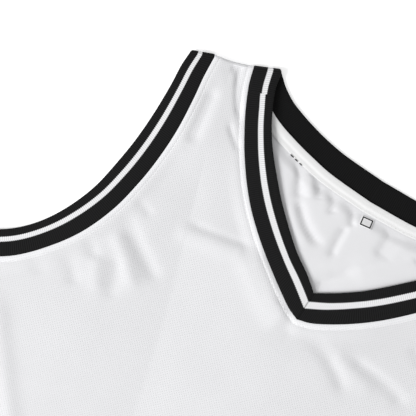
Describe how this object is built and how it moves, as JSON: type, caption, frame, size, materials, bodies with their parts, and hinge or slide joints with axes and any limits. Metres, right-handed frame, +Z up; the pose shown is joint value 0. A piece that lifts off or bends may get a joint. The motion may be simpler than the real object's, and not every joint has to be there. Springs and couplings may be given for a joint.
{
  "type": "basketball jersey",
  "caption": "Sleeveless V-neck basketball jersey in white mesh knit with black and white striped rib trims, laid flat on its back.",
  "frame": {"origin": "on the surface that the jersey lies on, under the middle of its bounding box", "axes": "+Y along the centre line from hem to neck, +Z up out of the front, +X across to the side that lies on the right when the neck is at the top"},
  "size_m": [0.5432, 0.7408, 0.0068],
  "materials": {
    "mesh_knit": "matt white polyester mesh knit",
    "rib_knit": "matt black rib knit with a white stripe",
    "neck_tape": "matt white twill tape",
    "size_tab": "satin white woven tab, blank"
  },
  "bodies": {
    "root": {"front_panel": "mesh_knit", "back_panel": "mesh_knit", "neck_rib_front_left": "rib_knit", "neck_rib_front_right": "rib_knit", "neck_rib_back": "rib_knit", "armhole_rib_left": "rib_knit", "armhole_rib_right": "rib_knit", "back_neck_tape": "neck_tape", "size_tab": "size_tab"}
  },
  "joints": []
}
